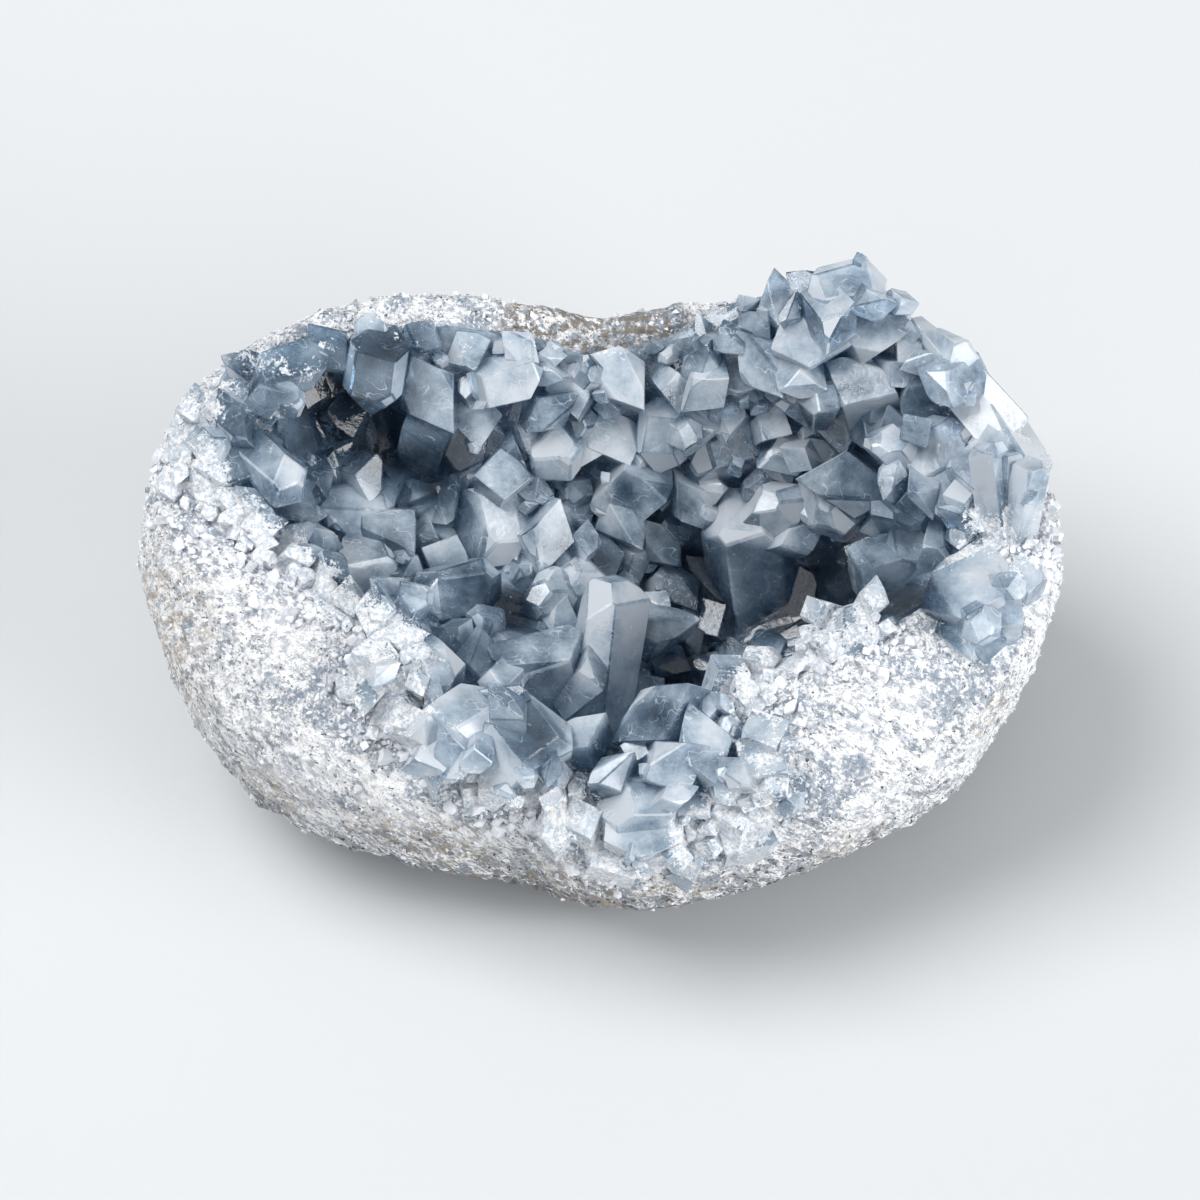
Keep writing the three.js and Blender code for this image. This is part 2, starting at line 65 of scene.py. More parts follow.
# Crystals. Each row: where the flat end is seen, in mm right and up of the flat spot's middle;
# its width, before growth; how far it stands out of the rock; how far it leans right and up, in
# degrees; its spin; and how cloudy it is, from 0, clear and deep blue, to 1.5, white.
CRYSTALS = [
    # left back wall
    (-57, 71, 13, 8, 18, 0, 20, 0.3),
    (-61, 66, 9, 7, 12, 30, 5, 0.5),
    (-50, 76, 9, 5, 8, 5, 40, 0.35),
    (-41, 71, 14, 12, 2, -8, 80, 0.15),
    (-47, 64, 8, 6, 30, 5, 10, 0.25),
    (-42, 79, 7, 4, 0, 5, 0, 0.9),
    (-33, 78, 7, 5, -5, 5, 60, 0.6),
    (-32, 68, 10, 9, -3, -5, 30, 0.35),
    (-70, 63, 8, 4, 20, 15, 15, 0.7),
    (-55, 60, 9, 9, 20, 15, 10, 0.5),
    (-66, 56, 14, 7, 5, 28, 20, 0.0),
    (-53, 54, 10, 10, 22, 30, 30, 0.4),
    (-72, 51, 8, 3, 5, 20, 40, 0.8),
    (-76, 58, 7, 3, 0, 20, 30, 0.7),
    (-74, 65, 7, 3, 5, 15, 0, 0.4),
    (-66, 72, 7, 3, 5, 10, 60, 0.6),
    (-79, 51, 6, 2.5, -10, 20, 10, 0.8),
    # left ledge
    (-46, 48, 13, 12, 5, 30, 10, 0.75),
    (-56, 45, 8, 6, 8, 30, 45, 0.6),
    (-63, 45, 8, 4, 5, 25, 20, 0.7),
    (-42, 38, 13, 10, 8, 34, 25, 0.85),
    (-27, 34, 13, 12, 0, 45, 15, 0.1),
    (-36, 26, 12, 10, 8, 40, 40, 0.35),
    (-40, 20, 8, 7, 10, 45, 0, 0.5),
    (-45, 30, 8, 6, 12, 45, 10, 0.6),
    # the swell in the middle
    (-20, 44, 17, 14, -8, 18, 10, 0.75),
    (-13, 51, 8, 14, 0, 22, 0, 0.4),
    (-5, 46, 9, 10, 5, 20, 30, 0.5),
    (-8, 37, 12, 12, 5, 12, 50, 0.45),
    (0, 38, 9, 10, 12, 15, 10, 0.5),
    (5, 45, 9, 14, 12, 2, 25, 0.6),
    (2, 52, 10, 9, 0, 28, 15, 0.85),
    (12, 40, 8, 12, 20, 5, 40, 0.7),
    (-38, 50, 6, 10, 5, 35, 0, 0.3),
    (-30, 43, 6, 8, 10, 30, 60, 0.3),
    (-34, 44, 7, 7, 25, 20, 0, 0.3),
    (-14, 54, 9, 6, 0, 0, 10, 0.25),
    (-7, 53, 7, 7, -5, 12, 30, 0.5),
    # middle back wall
    (3, 60, 11, 8, 0, 5, 20, 1.15),
    (-4, 58, 9, 8, 0, 0, 70, 0.9),
    (13, 60, 13, 11, 5, -5, 85, 0.5),
    (3, 72, 11, 7, 0, 8, 35, 1.25),
    (-5, 70, 9, 6, -5, 10, 10, 1.1),
    (-18, 70, 12, 9, 2, -10, 15, 0.7),
    (-15, 77, 7, 5, 0, 10, 50, 0.9),
    (-23, 63, 9, 7, 0, 5, 5, 0.7),
    (-14, 60, 7, 8, -12, 8, 30, 0.6),
    (-27, 56, 12, 8, 0, -12, 30, 0.25),
    (-20, 58, 8, 7, 8, 0, 65, 0.4),
    (-24, 76, 8, 5, -2, 8, 20, 0.45),
    (-25, 70, 6, 7, -8, 20, 0, 0.9),
    (24, 71, 7, 7, 0, 0, 70, 0.2),
    # right back cluster
    (45.5, 88.5, 13, 12, 0, 30, 20, 0.6),
    (34, 85, 8, 7, -5, 20, 10, 0.45),
    (41, 79, 15, 13, -3, 6, 25, 0.8),
    (50, 79, 10, 10, 5, 5, 80, 0.6),
    (55, 83, 7, 7, 8, 20, 20, 0.5),
    (40, 68, 14, 12, 0, -6, 10, 0.6),
    (29, 80, 7, 6, -5, 12, 40, 0.5),
    (24, 64, 8, 9, -2, 18, 0, 0.85),
    (25, 56, 16, 9, 0, -12, 20, 0.2),
    (33, 62, 7, 11, 12, 5, 60, 0.75),
    (44, 63, 8, 8, 0, 0, 10, 0.6),
    (43, 54, 10, 7, 0, -10, 50, 0.2),
    (51, 61, 9, 11, -8, 5, 15, 0.7),
    (60, 58, 14, 14, -8, 12, 30, 0.85),
    (60, 70, 12, 9, -4, 34, 90, 0.5),
    (67, 73, 9, 5, 10, 20, 60, 0.6),
    (54, 50, 9, 10, -15, 0, 75, 0.6),
    (63, 49, 9, 12, -12, 14, 10, 0.8),
    (69, 54, 10, 10, -10, 30, 0, 0.8),
    (74, 62, 8, 4, 10, 20, 45, 0.7),
    (58, 41, 10, 8, -20, 5, 20, 0.4),
    (47, 44, 9, 7, -10, -5, 55, 0.4),
    (38, 88, 6, 8, -8, 25, 50, 0.4),
    (28, 69, 6, 8, 8, 10, 30, 0.9),
    (71, 57, 6, 18, -4, 70, 10, 0.95),
    (75, 56, 4, 16, 4, 70, 90, 0.0),
    (79, 54, 6, 15, 8, 68, 0, 0.9),
    (70, 66, 11, 13, 35, -60, 20, 0.8),
    (77, 58, 11, 13, 35, -60, 60, 1.0),
    (81, 49, 9, 12, 25, -60, 0, 0.9),
    (34, 54, 8, 8, 0, -15, 35, 0.2),
    (66, 42, 7, 8, -25, 15, 5, 0.3),
    # right, above the front lobe
    (67, 32, 14, 8, -6, 30, 25, 1.0),
    (46, 28, 12, 7, 0, 52, 5, 0.65),
    (36, 32, 10, 6, -10, -5, 25, 0.0),
    (15, 32, 8, 9, 0, 20, 30, 0.2),
    (22, 33, 9, 7, 5, 15, 50, 0.15),
    (40, 39, 9, 6, -5, -15, 55, 0.1),
    (51, 37, 9, 7, -15, 10, 70, 0.25),
    (27, 46, 17, 21, -2, 53, 5, 1.5),
    (12, 50, 7, 8, 0, 5, 0, 0.4),
    (18, 46, 6, 12, -10, 30, 30, 0.3),
    (78, 34, 8, 4, 10, 30, 10, 0.8),
    # front
    (4, 33, 12, 27, 8, 74, 48, 0.8),
    (-12, 21, 15, 13, 0, 44, 20, 0.3),
    (-12, 5, 16, 13, 6, 24, 35, 0.35),
    (-22, 20, 8, 9, 5, 35, 0, 0.4),
    (-30, 18, 10, 9, 5, 32, 15, 0.5),
    (-25, 9, 12, 8, 4, 30, 45, 0.6),
    (-36, 10, 9, 5, 6, 30, 20, 0.85),
    (-30, 3, 8, 2.5, 0, 30, 0, 0.9),
    (13, 18, 8, 8, 0, 25, 60, 0.3),
    (25, 19, 9, 7, -8, 40, 5, 0.6),
    (32, 21, 8, 5, -5, 45, 30, 0.8),
    (19, 3, 10, 9, 2, 22, 20, 0.5),
    (8, -4, 14, 8, 0, 38, 10, 0.6),
    (9, -11, 13, 5, 0, 15, 30, 0.9),
    (25, -8, 8, 3.5, 4, 35, 15, 0.6),
    (26, -12, 10, 2.5, 4, 22, 60, 0.5),
    (29, 1, 9, 5, -4, 30, 50, 0.8),
    (3, -17, 9, 2, 0, 15, 35, 0.7),
    (16, -17, 8, 2, 2, 15, 10, 0.8),
    (-3, 22, 6, 16, -2, 62, 70, 0.1),
    (5, 33, 5, 9, 0, 45, 10, 0.6),
    (11, 29, 6, 12, 5, 35, 50, 0.85),
    (17, 28, 5, 10, 2, 30, 0, 0.7),
    (17, 22, 6, 9, -4, 30, 20, 0.5),
    (20, 11, 6, 7, -8, 42, 0, 0.6),
    (10, 3, 6, 5, 0, 35, 45, 0.1),
    (1, 0, 6, 4, 0, 30, 90, 0.1),
    (4, 7, 7, 5, 0, 40, 10, 0.1),
    (-8, -11, 8, 4, -4, 14, 0, 0.8),
    (30, 6, 8, 5, -6, 35, 20, 0.8),
    (-3, -10, 7, 5, -4, 20, 20, 0.6),
    (17, -7, 7, 5, -6, 25, 40, 0.15),
]

# Places, each as mm right and up as seen, and a radius.
# Tan stains on the rock:
STAINS = [
    (-28, -16, 6), (-24, -22, 5), (-5, -25, 8), (-78, 15, 9), (-80, 25, 8), (-60, -6, 5),
    (14, -24, 5), (46, -16, 5), (-40, -13, 5), (72, 8, 4),
]
# Hollows between the crystals, which have little in them; the crystals there lose their frost and
# get a painted shade, deep blue:
CAVES = [
    (-47, 63, 7), (-40, 58, 6), (-32, 54, 5), (-53, 66, 4), (22, 34, 6), (30, 31, 7), (38, 31, 7),
    (46, 32, 6), (54, 30, 4), (60, 28, 4), (-17, 27, 4), (15, 14, 5), (2, 1, 3), (17, 22, 3),
]
# Crystals that are less frosted than the border around them:
CLEAR = [
    (-11, 6, 8), (8, -2, 8), (20, 3, 6), (6, -12, 5), (-26, 12, 5), (74, 66, 9), (81, 54, 8),
]
# Crystals that get a painted shade: darker than the rest, and so also clearer:
DARKER = [
    (-62, 65, 8), (-50, 70, 9), (-39, 71, 8), (-56, 56, 7), (52, 47, 7), (-26, 20, 7), (-14, 7, 6),
]
# Rock that the crust covers beyond the CAD crust:
LINED = [
    (25, 29, 10), (32, 30, 9), (19, 30, 7), (20, 14, 10), (-75, 56, 3.5), (-71, 64, 3.5),
    (-64, 71, 3),
]
# Rock with blue-grey patches:
BLUISH = [
    (-34, 0, 7), (-24, -6, 5), (-45, 10, 5), (67, 11, 6), (58, 14, 4), (-60, 43, 6), (-70, 49, 6),
    (-76, 56, 5), (42, -5, 5), (20, -19, 5),
]
# Brown host rock:
BROWN_ROCK = [(-10, 81, 6), (-3, 79, 6), (5, 77, 6), (13, 76, 5), (8, 73, 4)]

# Crystals scattered between the listed ones, each kind with its least and greatest width in mm,
# how far two stay apart as a share of both widths together, and its range of cloudiness.
MIDDLING = (6.5, 13, 0.22, (0.1, 0.9))
SMALL = (2.0, 6.5, 0.36, (0.2, 1.0))

# Lamps. Each row: its name, where it hangs and how wide it is, in metres, and its share of power.
LAMPS = [
    ("key", (-1.15, -0.05, 2.15), 1.6, 1.1),
    ("side", (2.4, -1.5, 0.9), 2.6, 2.3),
    ("front", (-0.3, -2.6, 2.2), 2.2, 0.3),
]


# Kinds of setting for the add-on's panel:


def a_count(name, description, value):
    return IntProperty(name=name, description=description, default=value, min=0)


def a_length(name, description, value):
    return FloatProperty(name=name, description=description, default=value, unit="LENGTH")


def a_color(name, description, *value):
    return FloatVectorProperty(name=name, description=description, default=value, subtype="COLOR")


class GeodeRock(bpy.types.PropertyGroup):
    voxel: a_length("Voxel", "Cell size of the rock's mesh", 0.00092)
    lumps: a_length("Lumps", "Height of the rock's small lumps", 0.0017)
    grain: a_length("Grain", "Height of the rock's grain", 0.0006)
    shards: a_count("Shards", "Number of white shards on the rock", 6500)
    druse: a_count("Druse", "Number of tiny frosted crystals by the hollow", 660)
    white: a_color("White", "Colour of the clean rock", 0.98, 0.98, 0.985)
    grey: a_color("Grey", "Colour of the rock's grey patches", 0.30, 0.325, 0.37)
    tan: a_color("Tan", "Colour of the stains", 0.42, 0.34, 0.25)


class GeodeCrystals(bpy.types.PropertyGroup):
    growth: FloatProperty(
        name="Growth", description="Width of the large crystals beside the listed widths",
        default=1.1,
    )
    middling: a_count("Middling crystals", "Number of places tried between the large ones", 1500)
    small: a_count("Small crystals", "Number of places tried for small crystals", 1500)
    lining: a_length("Lining", "Thickness of the crust between the crystals", 0.0032)
    index: FloatProperty(
        name="Refraction", description="Index of refraction of celestite", default=1.62,
    )
    depth_color: a_color("Depth colour", "Colour light takes on inside a crystal", 0.40, 0.58, 0.76)
    depth_density: FloatProperty(
        name="Depth density", description="How fast light takes on that colour", default=30.0,
    )
    deep_blue: a_color("Deep blue", "Colour of the clearest zones", 0.05, 0.085, 0.135)
    mid_blue: a_color("Middle blue", "Colour of the fairly clear zones", 0.255, 0.38, 0.51)
    pale_blue: a_color("Pale blue", "Colour of the cloudy zones", 0.61, 0.74, 0.865)
    milky: a_color("Milky", "Colour of the cloudiest zones", 0.88, 0.935, 1.0)


class GeodeStudio(bpy.types.PropertyGroup):
    floor_color: a_color("Floor", "Colour of the floor", 0.675, 0.695, 0.71)
    lamp: FloatProperty(
        name="Lamp", description="Strength of the lamps, which each lamp takes a share of",
        default=43.0, unit="POWER",
    )
    sky: FloatProperty(name="Sky", description="Strength of the light all around", default=0.25)
    lens: FloatProperty(
        name="Lens", description="Focal length of the camera in mm", default=221.0,
    )
    distance: a_length("Distance", "From the camera to the geode", 1.4)


# ---- helpers ----


def scatter(seed):
    """Repeatable numbers from 0 to 1, by the usual linear steps through 32 bits."""
    STEP, SHIFT, RANGE = 1664525, 1013904223, 2 ** 32
    state = seed % RANGE
    while True:
        state = (state * STEP + SHIFT) % RANGE
        yield state / RANGE


def unit(vectors):
    return vectors / np.linalg.norm(vectors, axis=-1, keepdims=True)


def leaning(right, up):
    """A direction that leans right and up, in degrees, from the line of sight."""
    r, u = radians(right), radians(up)
    return RIGHT * sin(r) + UP * cos(r) * sin(u) + OUT * cos(r) * cos(u)


def upright(axis, across):
    """Rows that turn a solid so that its Z lies along an axis and its X across it."""
    return np.array([across, np.cross(axis, across), axis])


def mesh_object(name, points, faces):
    mesh = bpy.data.meshes.new(name)
    mesh.from_pydata([tuple(p) for p in points], [], [tuple(f) for f in faces])
    mesh.update()
    made = bpy.data.objects.new(name, mesh)
    bpy.context.scene.collection.objects.link(made)
    return made


def applied(piece):
    """The piece's mesh with its modifiers applied, put in their place."""
    seen = piece.evaluated_get(bpy.context.evaluated_depsgraph_get())
    mesh = bpy.data.meshes.new_from_object(seen)
    piece.modifiers.clear()
    old, piece.data = piece.data, mesh
    bpy.data.meshes.remove(old)
    mesh.name = piece.name
    return piece


def points_of(mesh, kind="co"):
    """The places of a mesh's points, or their normals."""
    values = np.empty(len(mesh.vertices) * 3, np.float32)
    mesh.vertices.foreach_get(kind, values)
    return values.reshape(-1, 3).astype(float)


def store(mesh, name, values, domain="POINT"):
    """Keeps one number for each point or face of a mesh, for its material."""
    kept = mesh.attributes.new(name, "FLOAT", domain)
    kept.data.foreach_set("value", np.asarray(values, np.float32))


def kept_values(mesh, name):
    values = np.empty(len(mesh.attributes[name].data), np.float32)
    mesh.attributes[name].data.foreach_get("value", values)
    return values


def welded(node):
    """A CAD node's own surface as a bmesh in mm about the flat spot's middle."""
    SAME_PLACE = 0.001 * MM
    bm = bmesh.new()
    bm.from_mesh(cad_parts[node].data)
    bmesh.ops.remove_doubles(bm, verts=bm.verts, dist=SAME_PLACE)
    bm.transform(Matrix.Scale(1 / MM, 4) @ Matrix.Translation(-FOOT))
    bm.normal_update()
    return bm


def tree_of(bm):
    """A tree of a bmesh's faces, in place of the bmesh."""
    tree = BVHTree.FromBMesh(bm)
    bm.free()
    return tree


def foot_middle():
    """The middle of the flat spot that the rind rests on."""
    ON_THE_FLOOR = 0.01 * MM
    corners = points_of(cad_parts["rind"].data)
    low = corners[corners[:, 2] < ON_THE_FLOOR]
    return Vector((low.min(axis=0) + low.max(axis=0)) / 2)


FOOT = foot_middle()


def sight(tree, right, up):
    """Where a line of sight first meets the surface in a tree: place, normal, face, distance."""
    FAR = 400
    return tree.ray_cast(Vector(RIGHT * right + UP * up + OUT * FAR), -Vector(OUT))


def seen_at(tree, right, up):
    """The place and the normal that are seen, or nothing."""
    place, normal, _, _ = sight(tree, right, up)
    if place is None:
        return None
    return np.array(place), np.array(normal)


def places(tree, spots):
    """Middle and radius in mm of each spot that is seen on the surface."""
    found = [(seen_at(tree, right, up), radius) for right, up, radius in spots]
    return [(hit[0], radius) for hit, radius in found if hit]


def nearness(points, spots):
    """1 in the middle of a spot, falling to 0 at twice its radius."""
    best = np.zeros(len(points))
    for middle, radius in spots:
        away = np.linalg.norm(points - middle, axis=1) / radius
        best = np.maximum(best, np.clip(2 - away, 0, 1))
    return best


def fading(values, full, gone):
    """1 where a value is at full or past it, falling to 0 where it is at gone."""
    return np.clip((values - gone) / (full - gone), 0, 1)


# ---- crystal forms ----


def crystal_planes(width, seed):
    """Faces of a celestite crystal with its flat end at z = 0: rows of outward normal and
    distance. A six-sided prism, flattened across Y, is bevelled by two pairs of domes; a small
    one has the four-sided prism and one pair. No two faces are quite alike."""
    SMALL, SKEW = 13, 0.09
    reach = 0.54 if width < SMALL else 0.62
    random = scatter(seed)

    def uneven(least, most):
        return least + (most - least) * next(random)

    half = width * reach
    thick = half * uneven(0.55, 0.9)
    prism = radians(uneven(33, 46))
    blunt = uneven(0.35, 0.9)
    slope = radians(uneven(36, 58))
    planes = [(0, 0, 1, 0)]
    for sx, sy in ((1, 1), (-1, 1), (-1, -1), (1, -1)):
        out = half * cos(prism) * uneven(0.85, 1.1)
        planes.append((sx * cos(prism), sy * sin(prism), 0, out))
    for s in (1, -1):
        out = sin(slope) * half * blunt * uneven(0.3, 1.6)
        planes.append((s * sin(slope), 0, cos(slope), out))
        if width >= SMALL:
            planes.append((0, s, 0, thick * uneven(0.8, 1.1)))
            out = sin(slope) * thick * blunt * uneven(0.3, 1.8)
            planes.append((0, s * sin(slope), cos(slope), out))
    planes = np.array(planes, float)
    skew = np.array([[uneven(-SKEW, SKEW) for _ in range(3)] for _ in planes])
    planes[:, :3] = unit(planes[:, :3] + skew)
    return planes


def corners_of(planes):
    """Corners of the convex solid inside the planes."""
    FLAT, TOUCH, DIGITS = 1e-5, 1e-4, 4
    threes = np.array(list(combinations(range(len(planes)), 3)))
    normals, reach = planes[threes, :3], planes[threes, 3]
    sound = np.abs(np.linalg.det(normals)) > FLAT
    points = np.linalg.solve(normals[sound], reach[sound][..., None])[..., 0]
    inside = (points @ planes[:, :3].T <= planes[:, 3] + TOUCH).all(axis=1)
    return np.unique(np.round(points[inside], DIGITS), axis=0)


def chipped(planes, width, seed):
    """Breaks a few corners off a crystal's free end."""
    CHIPS, DEEPEST = 2, 0.10
    random = scatter(seed)
    corners = corners_of(planes)
    for _ in range(CHIPS):
        way = unit(np.array([next(random) * 2 - 1, next(random) * 2 - 1, next(random) * 1.2 - 0.2]))
        depth = width * DEEPEST * next(random) ** 2
        planes = np.vstack([planes, [*way, (corners @ way).max() - depth]])
    return planes


def chamfered(planes, depth):
    """Takes a narrow strip off every edge, so that the edges catch the light."""
    NEAR = 1e-3
    corners = corners_of(planes)
    on = np.abs(corners @ planes[:, :3].T - planes[:, 3]) < NEAR
    strips = []
    for a, b in combinations(range(len(planes)), 2):
        edge = corners[on[:, a] & on[:, b]]
        if len(edge) < 2:
            continue
        way = unit(planes[a, :3] + planes[b, :3])
        strips.append([*way, (edge @ way).max() - depth])
    return np.vstack([planes, strips])


def hull(points):
    """The convex hull of points as corners and triangles."""
    bm = bmesh.new()
    for p in points:
        bm.verts.new(p)
    bmesh.ops.convex_hull(bm, input=bm.verts)
    bmesh.ops.delete(bm, geom=[v for v in bm.verts if not v.link_faces], context="VERTS")
    bmesh.ops.recalc_face_normals(bm, faces=bm.faces)
    bm.verts.index_update()
    corners = np.array([v.co for v in bm.verts])
    faces = np.array([[v.index for v in f.verts] for f in bm.faces])
    bm.free()
    return corners, faces


def facet_tones(corners, faces, planes, main, seed):
    """How pale each triangle is, from 0 to 1, and up to 1.5 for a few. Each of the main planes
    has a value of its own, because every facet shows another part of the inside. Most of the
    strips along the edges, which come after them, are dark and some are pale."""
    EDGES, PALE, LIFT = 0.9, 0.8, 0.5
    random = scatter(seed)
    values = np.array([next(random) for _ in planes])
    values[:main] += LIFT * (values[:main] > PALE)
    values[main:] = EDGES * values[main:] ** 2
    first, second, third = (corners[faces[:, i]] for i in range(3))
    normals = np.cross(second - first, third - first)
    return values[np.argmax(normals @ planes[:, :3].T, axis=1)]


class Crystal:
    """One crystal in place: its width, its cloudiness, its solid and the tones of its faces. Its
    axis leaves the rock at a point whose normal is wall, and its free end stands off from it."""

    def __init__(self, point, wall, axis, width, stands, spin, cloud, seed):
        OFF_THE_WALL, FACING_IN, STRIP, STRIP_SHARE = 1.5, 0.5, 0.05, 0.004
        CHIP_SEED, TONE_SEED = seed + 7, seed + 13
        self.width, self.cloud = width, cloud
        tip = point + axis * stands
        facing_in = -(wall[0] * point[0] + wall[1] * point[1]) / np.hypot(point[0], point[1])
        seat = point + wall * (OFF_THE_WALL if facing_in > FACING_IN else -width / 2)
        across = unit(RIGHT - axis * RIGHT.dot(axis))
        turn = np.array(Matrix.Rotation(radians(spin), 3, Vector(axis)))
        basis = upright(axis, turn @ across)
        planes = chipped(crystal_planes(width, seed), width, CHIP_SEED)
        planes[:, :3] = planes[:, :3] @ basis
        planes[:, 3] += planes[:, :3] @ tip
        root = [*-axis, -axis @ seat + width / 2]
        under = [*-wall, -wall @ seat]
        planes = np.vstack([planes, [root, under]])
        main = len(planes)
        planes = chamfered(planes, STRIP + STRIP_SHARE * width)
        self.corners, self.faces = hull(corners_of(planes))
        self.tones = facet_tones(self.corners, self.faces, planes, main, TONE_SEED)


def listed_crystals(rock_tree, growth):
    """The crystals of the list, each rooted where its axis meets the rock."""
    FIRST_SEED = 101
    made = []
    for i, (right, up, width, stands, lean_right, lean_up, spin, cloud) in enumerate(CRYSTALS):
        axis = leaning(lean_right, lean_up)
        hit = seen_at(rock_tree, right - stands * axis.dot(RIGHT), up - stands * axis.dot(UP))
        if hit is None:
            raise RuntimeError(f"crystal {i} at {right}, {up} has no seat on the rock")
        seed = FIRST_SEED + i
        made.append(Crystal(*hit, axis, width * growth, stands, spin, cloud, seed))
    return made


def joined(parts):
    """All corners and triangles of several solids, and the solid's number for each triangle."""
    corners, faces, owners, start = [], [], [], 0
    for i, (points, triangles, *_) in enumerate(parts):
        corners.append(points)
        faces.append(triangles + start)
        owners.append(np.full(len(triangles), i))
        start += len(points)
    return np.vstack(corners), np.vstack(faces), np.concatenate(owners)


def apart(middles, reaches):
    """Sorts solids into groups whose members don't touch, by their spheres."""
    groups = np.full(len(middles), -1)
    for i in range(len(middles)):
        near = np.linalg.norm(middles[:i] - middles[i], axis=1) < reaches[:i] + reaches[i]
        taken = set(groups[:i][near])
        groups[i] = next(g for g in range(len(middles)) if g not in taken)
    return groups


def grow_together(base, parts, clouds):
    """Unites a base with many convex solids into one closed mesh, which keeps the cloudiness
    and tone of each solid's faces."""
    middles = np.array([part[0].mean(axis=0) for part in parts])
    reaches = [np.linalg.norm(part[0] - m, axis=1).max() for part, m in zip(parts, middles)]
    reaches = np.array(reaches)
    groups = apart(middles, reaches)
    helpers = []
    for g in range(groups.max() + 1):
        members = np.flatnonzero(groups == g)
        corners, faces, owners = joined([parts[i] for i in members])
        helper = mesh_object(f"group_{g}", corners, faces)
        store(helper.data, "cloud", np.array([clouds[i] for i in members])[owners], "FACE")
        store(helper.data, "tone", np.concatenate([parts[i][2] for i in members]), "FACE")
        unite = base.modifiers.new("grow", "BOOLEAN")
        unite.operation, unite.solver, unite.object = "UNION", "MANIFOLD", helper
        helpers.append(helper)
    applied(base)
    for helper in helpers:
        mesh = helper.data
        bpy.data.objects.remove(helper)
        bpy.data.meshes.remove(mesh)
    return base


def covered_rock():
    """The part of the rock's surface that is under the CAD crust or in a lined spot."""
    COVERED = 0.35
    rock, crust = welded("rind"), tree_of(welded("crystal_crust"))
    lined = places(BVHTree.FromBMesh(rock), LINED)
    bare = [
        v for v in rock.verts
        if crust.find_nearest(v.co)[3] > COVERED and not nearness(np.array([v.co]), lined).any()
    ]
    bmesh.ops.delete(rock, geom=bare, context="VERTS")
    bmesh.ops.delete(rock, geom=[v for v in rock.verts if not v.link_faces], context="VERTS")
    return rock


def border_of(rock):
    """Points about every mm along the border of the covered rock."""
    points = []
    for edge in rock.edges:
        if edge.is_boundary:
            start, end = (np.array(v.co) for v in edge.verts)
            steps = int(np.linalg.norm(end - start)) + 1
            points += [start + (end - start) * i / steps for i in range(steps)]
    return np.array(points)


def nearest(points, others):
    """The distance from each point to the nearest of the others."""
    return np.array([np.linalg.norm(others - p, axis=1).min() for p in points])


def lining(thickness):
    """The crust between the crystals: a layer over the covered rock, thin and sunk in at its
    border. Returned with points along that border."""
    SEAM, SUNK, EDGE, RISE, PALENESS, CUTS = 0.3, 0.6, 0.4, 0.45, 0.35, 3
    FINE, FINE_HEIGHT, COARSE = 2.4, 0.9, 6
    rock = covered_rock()
    border = border_of(rock)
    bmesh.ops.subdivide_edges(rock, edges=rock.edges, cuts=CUTS, use_grid_fill=True)
    bmesh.ops.triangulate(rock, faces=rock.faces)
    rock.normal_update()
    normals = [v.normal.copy() for v in rock.verts]
    count = len(rock.verts)
    under, over = [], []
    for v, normal, away in zip(rock.verts, normals, nearest([v.co for v in rock.verts], border)):
        rough = noise.noise(v.co / FINE) * FINE_HEIGHT + noise.noise(v.co / COARSE)
        under.append(v.co + normal * min(RISE * away - SUNK, SEAM))
        over.append(v.co + normal * min(RISE * away + EDGE, thickness + rough))
    faces = [[v.index for v in f.verts] for f in rock.faces]
    around = [
        (loop.vert.index, loop.link_loop_next.vert.index)
        for f in rock.faces for loop in f.loops if loop.edge.is_boundary
    ]
    closed = [[i + count for i in f] for f in faces] + [f[::-1] for f in faces]
    closed += [[a, b, b + count, a + count] for a, b in around]
    rock.free()
    made = mesh_object("crystals", under + over, closed)
    for name in ("cloud", "tone"):
        store(made.data, name, np.full(len(made.data.polygons), PALENESS), "FACE")
    return made, border


def small_forms(count):
    """A few small crystals of width 1 with their roots at the origin, pointing along +Z. Every
    third has the six-sided form of a large one."""
    LARGE, ROOT, STRIP, LOWEST, SPREAD = 14, 1.6, 0.014, 0.45, 0.75
    HEIGHT_SEED, PLANES_SEED = 500, 900
    forms = []
    for seed in range(count):
        random = scatter(HEIGHT_SEED + seed)
        width = LARGE if seed % 3 == 0 else 1
        planes = crystal_planes(width, PLANES_SEED + seed)
        planes[:, 3] /= width
        planes = chipped(np.vstack([planes, [0, 0, -1, ROOT]]), ROOT, seed)
        height = LOWEST + SPREAD * next(random)
        planes[:, 3] += planes[:, 2] * height
        main = len(planes)
        planes = chamfered(planes, STRIP)
        corners, faces = hull(corners_of(planes))
        forms.append((corners, faces, facet_tones(corners, faces, planes, main, seed)))
    return forms


